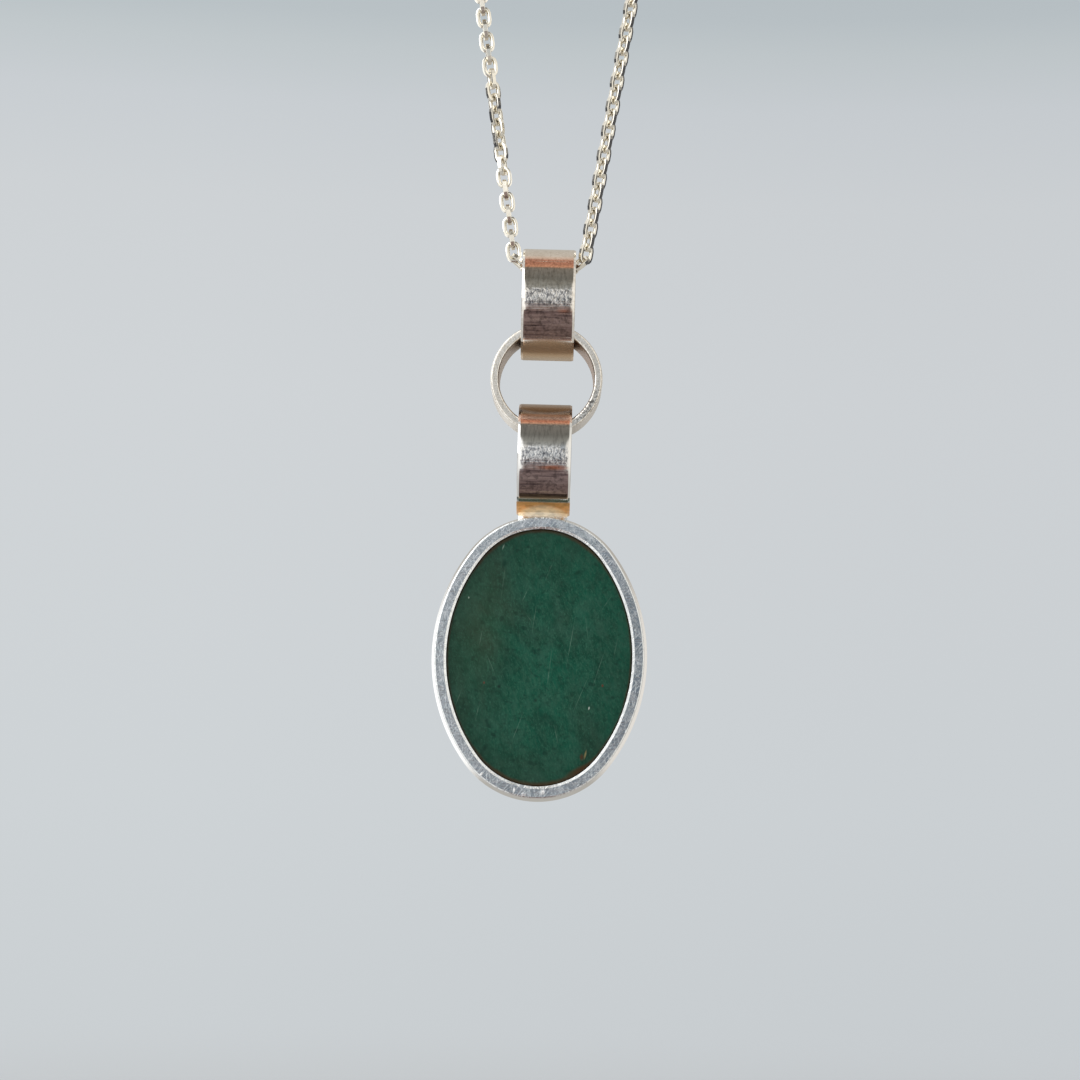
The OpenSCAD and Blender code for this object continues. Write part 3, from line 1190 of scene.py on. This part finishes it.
# The solder's colours run upwards from here over this length, and are lower towards the sides
FLOW_START = -0.4
FLOW_LENGTH = 1.82
FLOW_ARCH = 0.09
COPPER_REFLECTION_STRENGTH = 0.6
SOLDER_BURNS = Grain(1.1, 4.0, 0.6, stretch=(1, 1, 1.6))
BURN_TONES = [(0.42, 0.78), (0.56, 1.0)]
SETTING_ROUGH = 0.03
GRAIN_ROUGH = 0.06
BACK_ROUGH = 0.16
COPPER_REFLECTION_ROUGH = 0.13
SOLDER_DULLS = 0.5
WALL_COOL = srgb(214, 218, 222)
WALL_PALE = srgb(230, 231, 230)
FACE_COOL = srgb(183, 190, 198)
FACE_PALE = srgb(196, 200, 203)
FACE_PITTED = srgb(160, 170, 175)
FACE_PAINTED_GLINTS = srgb(238, 242, 244)
BACK_BRUSHED = srgb(184, 186, 187)
LIP_HIGHLIGHT_COLOUR = srgb(250, 251, 250)
RIGHT_WALL_SHADE = srgb(214, 206, 196)
RIGHT_FACE_SHADE = srgb(238, 238, 238)
SETTING_RING_PALE = srgb(246, 246, 245)
SETTING_RING_WARM = srgb(238, 235, 230)
SETTING_TARNISH_AND_SHADE = srgb(146, 118, 92)
FOOT_BAND_COLOUR = srgb(92, 84, 74)
COPPER_REFLECTION_COLOUR = srgb(248, 190, 152)
FLOW_TONES = [(0.3, srgb(255, 244, 222)), (0.62, srgb(255, 226, 182)), (0.78, srgb(242, 180, 110))]


def frame_colour(made, face, back, cloud, brushed):
    """The frame's face is pitted and scratched with painted glints, its walls are plainer, and its back is
    brushed.
    """
    walls = made.mix(cloud, WALL_COOL, WALL_PALE)
    silver = made.mix(face, walls, made.mix(cloud, FACE_COOL, FACE_PALE))
    silver = made.mix(made.fade(brushed, *BRUSH_SPAN) * back, silver, BACK_BRUSHED)
    silver = made.mix(made.fade(made.noise(FRAME_PITS), *PIT_SPAN) * face, silver, FACE_PITTED)
    # Painted glints, small highlights on the face
    painted_glints = made.fade(strongest(made.turned(PAINTED_GLINT_GRAIN, PAINTED_GLINT_TURNS)), *PAINTED_GLINT_SPAN)
    return made.mix(painted_glints * face, silver, FACE_PAINTED_GLINTS)


def solder_colour(made, up, off_middle):
    """Brown at the top of the solder's flow, paler at its foot, which is arched like the frame."""
    arch = off_middle ** 2.0 * FLOW_ARCH
    flow = made.ramp((up + arch - FLOW_START) / FLOW_LENGTH, FLOW_TONES)
    return made.mix(1.0, flow, made.ramp(made.noise(SOLDER_BURNS), BURN_TONES), "MULTIPLY")


def setting_silver():
    """Silver rubbed flat, with fine scratches in every direction and brassy solder at the ring, and with
    painted glints, highlights, shade and copper and orange reflections.
    """
    made = Finish("Scratched setting silver")
    relief, tone = band_wear(made, SETTING_WHOLE_HALF, SETTING_WORN)
    backwards = made.backwards()
    forwards = -backwards
    face = made.fade(forwards, *FACE_SPAN)
    back = made.fade(backwards, *BACK_SPAN)
    bore = made.marked("bore")
    across, _, up = made.axes(made.millimetres(centre=drop_ring_centre - UP * RING_R))
    off_middle = abs(across)
    on_ring = made.fade(up, *RING_BEGINS)
    cloud = made.noise(FRAME_CLOUD)
    brushed = made.noise(BACK_BRUSHING)

    silver = frame_colour(made, face, back, cloud, brushed)
    nicked = strongest([made.mark(place) for place in FRAME_NICKS]) * face
    silver = made.mix(nicked, silver, WHITE)
    # A painted highlight along the lip's slope
    silver = made.mix(made.ramp(forwards, LIP_HIGHLIGHT_TONES), silver, LIP_HIGHLIGHT_COLOUR)
    # Painted shade on the frame's right
    shade = made.mix(face, RIGHT_WALL_SHADE, RIGHT_FACE_SHADE)
    silver = made.mix(made.fade(across, *FRAME_SHADE_RIGHT), silver, shade, "MULTIPLY")
    silver = made.mix(on_ring, silver, made.mix(cloud, SETTING_RING_PALE, SETTING_RING_WARM))
    # Tarnish and painted shade where the rings meet
    tarnish_and_shade_between = between_rings(made)
    silver = made.mix(tarnish_and_shade_between, silver, SETTING_TARNISH_AND_SHADE)
    # A darker band across the ring, just above the solder
    dark_foot_band = made.window(up, FOOT_BAND_UP) * made.window(off_middle, FOOT_BAND_ACROSS)
    silver = made.mix(dark_foot_band * FOOT_BAND_STRENGTH, silver, FOOT_BAND_COLOUR)
    # A painted copper reflection across the lower ring's front, which is also rougher there
    copper_reflection = made.on_front(COPPER_REFLECTION_STRETCH)
    silver = made.mix(copper_reflection * COPPER_REFLECTION_STRENGTH, silver, COPPER_REFLECTION_COLOUR)
    # Paints an orange reflection on the lower ring's front
    silver = painted_orange_reflection(made, silver, LOWER_ORANGE_REFLECTION, LOWER_ORANGE_REFLECTION_STRENGTH)
    silver = made.mix(1.0, silver, tone, "MULTIPLY")
    silver = made.mix(bore, silver, BORE_TARNISH)
    on_seam = made.window(up, SEAM_UP) * made.window(off_middle, SEAM_ACROSS)
    warm = made.window(up, FLOW_UP).or_more(on_seam * abs(backwards).below(SEAM_FACES)) * (1.0 - bore)
    made.into("Base Color", made.mix(warm, silver, solder_colour(made, up, off_middle)))

    # The frame has the flat scratches, the ring above it the wear of a band
    grain = made.noise(FRAME_GRAIN)
    scratches = made.scratches(FRAME_SCRATCHES, SCRATCH_TURNS, SCRATCH_THIN)
    flat = even(grain, GRAIN_DEEP) + even(made.noise(FRAME_SWELLS), SWELLS_DEEP)
    flat = (flat - scratches * SCRATCHES_DEEP) * (face * ON_FACE + OFF_FACE)
    flat = flat + even(brushed, BRUSH_DEEP) * back + nicked * NICK_HIGH
    made.bump(made.blend(on_ring, flat, relief))
    grime = (tarnish_and_shade_between * OPENING_DULLS).or_more(bore * BORE_DULLS).or_more(warm * SOLDER_DULLS)
    made.into("Metallic", 1.0 - grime)
    dull = (grime * GRIME_ROUGH).or_more(copper_reflection * COPPER_REFLECTION_ROUGH)
    made.into("Roughness", grain * GRAIN_ROUGH + back * BACK_ROUGH + SETTING_ROUGH + dull)
    return made.material


# The chain, a little uneven from link to link
CHAIN_CLOUD = Grain(1.6, 3.0)
CHAIN_SHEEN = Grain(3.0)
CHAIN_ROUGH = [(0.35, 0.1), (0.65, 0.2)]
CHAIN_BRIGHT = srgb(252, 248, 238)
CHAIN_WARM = srgb(226, 219, 204)


def chain_silver():
    """Bright warm silver."""
    made = Finish("Bright chain silver")
    made.into("Metallic", 1.0)
    made.into("Base Color", made.mix(made.noise(CHAIN_CLOUD), CHAIN_BRIGHT, CHAIN_WARM))
    made.into("Roughness", made.ramp(made.noise(CHAIN_SHEEN), CHAIN_ROUGH))
    return made.material


# The stone. Its clouds are laid one over the other: grain, span and colour.
STONE_GROUND = Grain(0.13, 4.0, 0.55, 0.5, 0.4, (1, 1, 0.6))
STONE_GREENS = [(0.36, srgb(32, 60, 46)), (0.47, srgb(14, 65, 49)), (0.62, srgb(4, 80, 61))]
STONE_DRIFTS = Grain(0.4, 5.0, 0.6, 0.8, 0.5, (1, 1, 0.7))
STONE_FIBRES = Grain(2.4, 6.0, 0.7, 0.6, 0.3, (1, 1, 0.35))
STONE_BLOTS = Grain(1.5, 5.0, 0.6, 0.3, 0.9)
STONE_FLECKS = Grain(6.0, 3.0, 0.7, 0.5, 0.2, (1, 1, 0.5))
STONE_PINS = Grain(1.3, 1.0, 0.5, 0.0, 1.3, (1, 1, 0.8))
STONE_CLOUDS = [
    (STONE_DRIFTS, (0.44, 0.68, 0.48), srgb(50, 90, 76)),
    (STONE_DRIFTS, (0.48, 0.32, 0.55), srgb(12, 52, 40)),
    (STONE_FIBRES, (0.42, 0.7, 0.4), srgb(58, 98, 80)),
    (STONE_BLOTS, (0.5, 0.72, 0.6), srgb(8, 48, 36)),
    (STONE_FLECKS, (0.53, 0.68, 0.38), srgb(62, 118, 96)),
    (STONE_PINS, (0.66, 0.76, 0.6), srgb(4, 46, 36)),
]
OLIVE_PATCH = ((-6.8, 3.4), 8, 9.5, 4.2)
OLIVE_STRENGTH = 0.24
STONE_OLIVE = srgb(60, 72, 48)
# Pale scratches on its face, fainter in places
HAIR_STRENGTH = 0.42
HAIR_HIGH = 2.0
STONE_HAIR = srgb(120, 152, 136)
HAIR_GRAIN = Grain(1.4, 2.0)
HAIR_TONES = [(0.38, 0.25), (0.6, 1.0)]
STONE_HAIRS = [
    ((-1.8, 7.2), 24, 1.1, 0.05),
    ((-0.7, 4.4), 8, 2.1, 0.045),
    ((-1.3, 4.5), -38, 0.5, 0.06),
    ((1.2, -1.4), 6, 3.4, 0.05),
    ((3.6, 1.8), 9, 3.6, 0.05),
    ((7.6, 6.4), 33, 1.3, 0.06),
    ((6.9, -1.2), 17, 3.0, 0.045),
    ((-4.4, 8.6), 6, 2.2, 0.045),
    ((-7.0, -6.6), 12, 1.8, 0.05),
    ((-2.4, -8.4), 20, 2.4, 0.045),
    ((2.2, -9.0), -14, 1.7, 0.045),
    ((0.9, 10.0), 21, 1.5, 0.045),
    ((-9.2, -4.9), 20, 1.2, 0.05),
    ((-6.8, 2.2), 9, 1.5, 0.045),
    ((4.9, -4.2), 22, 2.6, 0.045),
    ((5.4, 3.6), -8, 1.6, 0.045),
    ((-5.6, -0.9), -24, 1.4, 0.045),
    ((-1.5, 12.4), 2, 0.8, 0.05),
    ((8.8, 1.2), 11, 1.5, 0.045),
]
# Small marks in it, each with its colour
SPECK_STRENGTH = 0.9
STONE_SPECKS = [
    (((-4.55, -3.5), 0, 0.26, 0.24), srgb(14, 40, 32)),
    (((-0.3, -5.0), 0, 0.3, 0.3), srgb(20, 56, 44)),
    (((-4.3, 10.8), 10, 0.6, 0.4), srgb(6, 54, 42)),
    (((4.2, 9.9), 60, 0.7, 0.35), srgb(6, 56, 42)),
    (((-6.0, -10.6), 30, 0.7, 0.4), srgb(8, 50, 38)),
    (((5.9, -5.75), 8, 0.24, 0.09), srgb(214, 224, 214)),
    (((-8.35, 6.7), 0, 0.16, 0.1), srgb(170, 190, 176)),
    (((-4.5, 12.7), 20, 0.4, 0.09), srgb(150, 172, 158)),
    (((7.4, -3.1), 0, 0.22, 0.16), srgb(104, 46, 34)),
    (((-6.3, -3.1), 0, 0.2, 0.16), srgb(96, 58, 44)),
    (((5.6, -11.1), 12, 0.65, 0.14), srgb(150, 136, 92)),
    (((5.2, -11.4), 0, 0.5, 0.3), srgb(84, 50, 26)),
    (((4.9, -12.9), 62, 2.2, 0.5), srgb(74, 48, 22)),
]
# Painted shade darkens it towards its edge, and it is brown along a wandering rim
STONE_EDGE_SHADE_SPAN = (0.55, 1.0, 0.35)
STONE_EDGE_SHADE = srgb(22, 46, 34)
RIM_WANDER = Grain(0.6, 4.0, 0.6)
RIM_WANDERS_BY = 0.03
RIM_TONES = [(0.965, 0.0), (0.99, 0.75)]
RIM_BROWN = srgb(66, 42, 20)
STONE_GLOSS = 0.2
STONE_ROUGH = [(0.3, 0.14), (0.7, 0.24)]


def green_stone():
    """Dark green chalcedony: soft clouds, faint fibres, painted shade towards the edge, brown at the rim,
    hair scratches, specks.
    """
    made = Finish("Dark green chalcedony")
    green = made.ramp(made.noise(STONE_GROUND, oval_centre), STONE_GREENS)
    for grain, span, colour in STONE_CLOUDS:
        green = made.mix(made.fade(made.noise(grain, oval_centre), *span), green, colour)
    green = made.mix(made.mark(OLIVE_PATCH, OLIVE_STRENGTH), green, STONE_OLIVE)
    uneven = made.ramp(made.noise(HAIR_GRAIN, oval_centre), HAIR_TONES)
    hairs = strongest([made.mark(place, HAIR_STRENGTH) for place in STONE_HAIRS]) * uneven
    green = made.mix(hairs, green, STONE_HAIR)
    for place, colour in STONE_SPECKS:
        green = made.mix(made.mark(place, SPECK_STRENGTH), green, colour)
    edge = made.marked("edge")
    # Painted shade towards the stone's edge
    green = made.mix(made.fade(edge, *STONE_EDGE_SHADE_SPAN), green, STONE_EDGE_SHADE)
    rim = edge + made.noise(RIM_WANDER, oval_centre) * RIM_WANDERS_BY
    made.into("Base Color", made.mix(made.ramp(rim, RIM_TONES), green, RIM_BROWN))
    made.into("Specular IOR Level", STONE_GLOSS)
    made.into("Roughness", made.ramp(made.noise(STONE_FIBRES, oval_centre), STONE_ROUGH))
    made.bump(hairs * HAIR_HIGH)
    return made.material


# Building

def place_piece(piece, body, node, finish):
    """Gives a finished piece its material, says what it rides on, and hides the model's part that it takes
    the place of.
    """
    piece.data.materials.clear()
    piece.data.materials.append(finish)
    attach(piece, body)
    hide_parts(node)


ring_finish = ring_silver()
setting_finish = setting_silver()
chain_finish = chain_silver()
stone_finish = green_stone()

place_piece(chain_piece(chain_finish), "necklace", "chain", chain_finish)
place_piece(clasp_piece(), "necklace", "clasp", chain_finish)
place_piece(
    band_ring("upper_band_ring", bail_centre, ACROSS), "bail", "bail_ring", ring_finish)
place_piece(
    band_ring("middle_band_ring", link_centre, TO_BACK), "link", "link_ring", ring_finish)
place_piece(setting_piece(), "drop", "setting", setting_finish)
place_piece(stone_piece(), "drop", "stone", stone_finish)


# Floor, light and camera

FLOOR_PALE = srgb(196, 199, 201)
FLOOR_ROUGH = 0.7


def pale_floor():
    """A plain pale floor, well below, that fades out before its edge."""
    height = UP * (cad_low.z - FLOOR_BELOW)
    rim = [Vector((math.cos(turn), math.sin(turn), 0)) for turn in circle_turns(FLOOR_STEPS)]
    faces = [(0, 1 + i, 1 + (i + 1) % FLOOR_STEPS) for i in range(FLOOR_STEPS)]
    floor = new_piece("pale_floor", [height, *(height + way * FLOOR_REACH for way in rim)], faces)
    made = Finish("Plain pale floor")
    made.into("Base Color", FLOOR_PALE)
    made.into("Roughness", FLOOR_ROUGH)
    far = made.length(made.give("ShaderNodeTexCoord", {}, "Object"))
    made.into("Alpha", made.fade(far, FLOOR_FADED, FLOOR_SOLID, way="SMOOTHSTEP"))
    floor.data.materials.append(made.material)
    floor.visible_glossy = False


# What the silver mirrors, by the angle round the X axis: 0 is the way that the stone faces,
# 90 is up, 180 is behind and -90 is down. Colours are in 0 to 255.
STUDIO_BANDS = [
    (-180, (180, 175, 167)),
    (-150, (192, 189, 182)),
    (-128, (186, 168, 146)),
    (-110, (186, 162, 136)),
    (-99, (178, 154, 126)),
    (-91, (206, 184, 154)),
    (-86, (104, 86, 78)),
    (-72, (110, 92, 88)),
    (-58, (100, 84, 81)),
    (-42, (136, 119, 116)),
    (-28, (120, 103, 100)),
    (-16, (140, 120, 116)),
    (-8, (164, 158, 158)),
    (0, (200, 203, 205)),
    (10, (206, 208, 208)),
    (13, (250, 250, 248)),
    (20, (250, 250, 248)),
    (25, (172, 172, 168)),
    (32, (144, 143, 137)),
    (46, (112, 110, 104)),
    (66, (124, 119, 112)),
    (72, (134, 125, 114)),
    (76, (212, 154, 124)),
    (84, (182, 128, 106)),
    (96, (184, 130, 108)),
    (101, (212, 184, 166)),
    (112, (200, 191, 180)),
    (150, (192, 187, 178)),
    (180, (180, 175, 167)),
]
# The bands' front, as a share of the whole turn, is brighter on its left than on its right
FRONT_PART = [(0.46, 0), (0.49, 1), (0.56, 1), (0.6, 0)]
FRONT_TINT = [(0.475, (1.15, 1.13, 1.11)), (0.517, (0.6, 0.65, 0.71))]

# The sides, from 0 at the far left to 1 at the far right: how much they hide the bands, and their
# colour, a white wall of light on the left and a softer one on the right
SIDE_PART = [(0.0, 1), (0.405, 1), (0.43, 0), (0.57, 0), (0.595, 1), (1.0, 1)]
SIDE_COLOUR = [
    (0.0, (0.07, 0.075, 0.09)),
    (0.06, (0.1, 0.105, 0.12)),
    (0.085, (1.0, 1.0, 1.0)),
    (0.3, (1.2, 1.2, 1.18)),
    (0.4, (1.3, 1.3, 1.28)),
    (0.48, (1.6, 1.6, 1.58)),
    (0.52, (0.95, 0.91, 0.85)),
    (0.64, (0.95, 0.92, 0.87)),
    (0.67, (1.15, 1.12, 1.05)),
    (0.915, (0.95, 0.93, 0.88)),
    (0.94, (0.1, 0.1, 0.11)),
    (1.0, (0.07, 0.075, 0.09)),
]
# Less light comes from the sides below and above: from 0 straight down to 1 straight up
SIDE_LIGHT = [(0.0, 0.45), (0.25, 0.6), (0.44, 1.0), (0.68, 1.0), (0.85, 0.75), (1.0, 0.6)]

# What the camera sees behind the pendant: how steeply down and up its colours reach, the colours
# from below upwards in 0 to 255, and a little shade on the right
BACKDROP_REACH = (-0.2, 0.4)
BACKDROP = [
    (0.0, (200, 204, 207)),
    (0.138, (203, 208, 211)),
    (0.285, (206, 211, 214)),
    (0.58, (208, 212, 215)),
    (0.719, (206, 210, 213)),
    (0.786, (201, 206, 210)),
    (0.825, (193, 200, 203)),
    (0.848, (186, 194, 198)),
    (1.0, (172, 180, 186)),
]
BACKDROP_SHADE = [(0.42, (1.0, 1.0, 1.0)), (0.58, (0.965, 0.965, 0.968))]


def studio():
    """Soft studio surroundings: banded for reflections, plain and pale for the camera."""
    world = bpy.data.worlds.new("Soft studio")
    bpy.context.scene.world = world
    world.use_nodes = True
    world.node_tree.nodes.clear()
    made = Nodes(world.node_tree)
    x, y, z = made.axes(made.give("ShaderNodeTexCoord", {}, "Generated"))
    turn = made.fade(made.reckon("ARCTAN2", z, -y), -math.pi, math.pi)
    across = made.fade(x, -1.0, 1.0)

    bands = made.ramp(turn, [((angle + 180) / 360, srgb(*colour)) for angle, colour in STUDIO_BANDS])
    front_tint = made.ramp(across, FRONT_TINT)
    bands = made.mix(made.ramp(turn, FRONT_PART), bands, front_tint, "MULTIPLY")
    side_light = made.ramp(made.fade(z, -1.0, 1.0), SIDE_LIGHT)
    side_colour = made.ramp(across, SIDE_COLOUR)
    sides = made.give("ShaderNodeVectorMath", {0: side_colour, "Scale": side_light}, operation="SCALE")
    mirrored = made.mix(made.ramp(across, SIDE_PART), bands, sides)

    backdrop = [(height, srgb(*colour)) for height, colour in BACKDROP]
    backdrop = made.ramp(made.fade(z, *BACKDROP_REACH), backdrop)
    seen = made.mix(1.0, backdrop, made.ramp(across, BACKDROP_SHADE), "MULTIPLY")

    surroundings = made.give("ShaderNodeMixShader", {
        0: made.give("ShaderNodeLightPath", {}, "Is Camera Ray"),
        1: made.give("ShaderNodeBackground", {"Color": mirrored}),
        2: made.give("ShaderNodeBackground", {"Color": seen}),
    })
    made.add("ShaderNodeOutputWorld", {"Surface": surroundings})


def key_light():
    """A soft square light from the left and the front, aimed at the stone."""
    light = bpy.data.lights.new("key_light", "AREA")
    light.shape = "SQUARE"
    light.size = KEY_LIGHT_SIZE
    light.energy = KEY_LIGHT_WATTS
    lamp = in_scene("key_light", light)
    lamp.location = KEY_LIGHT_PLACE
    lamp.rotation_euler = (oval_centre - KEY_LIGHT_PLACE).to_track_quat("-Z", "Y").to_euler()


def photo_camera():
    """The camera that puts the stone on its pixel, with depth vanishing at its own pixel."""
    focal = LENS_MM / SENSOR_MM * PHOTO_SIZE
    middle = PHOTO_SIZE / 2
    distance = focal / PIXELS_PER_MM * MM
    rolled = Matrix.Rotation(CAMERA_ROLL, 2)
    aim = rolled @ Vector((DEPTH_VANISHING_PIXEL[0] - middle, middle - DEPTH_VANISHING_PIXEL[1]))
    pitch = math.atan2(-aim.y, focal)
    yaw = math.atan2(aim.x, math.hypot(focal, aim.y))
    turn = Euler((math.pi / 2 + pitch, 0, yaw)).to_matrix() @ Matrix.Rotation(CAMERA_ROLL, 3, "Z")
    sight = Vector(((STONE_PIXEL[0] - middle) / focal, (middle - STONE_PIXEL[1]) / focal, -1)) * distance
    stone_middle = Vector((oval_centre.x, stone_front, oval_centre.z))
    data = bpy.data.cameras.new("photo_camera")
    data.lens = LENS_MM
    data.sensor_width = SENSOR_MM
    data.clip_start = CAMERA_NEAR
    data.clip_end = CAMERA_FAR
    camera = in_scene("photo_camera", data)
    camera.matrix_world = Matrix.Translation(stone_middle - turn @ sight) @ turn.to_4x4()
    bpy.context.scene.camera = camera


pale_floor()
studio()
key_light()
photo_camera()
bpy.context.scene.view_settings.view_transform = "Standard"
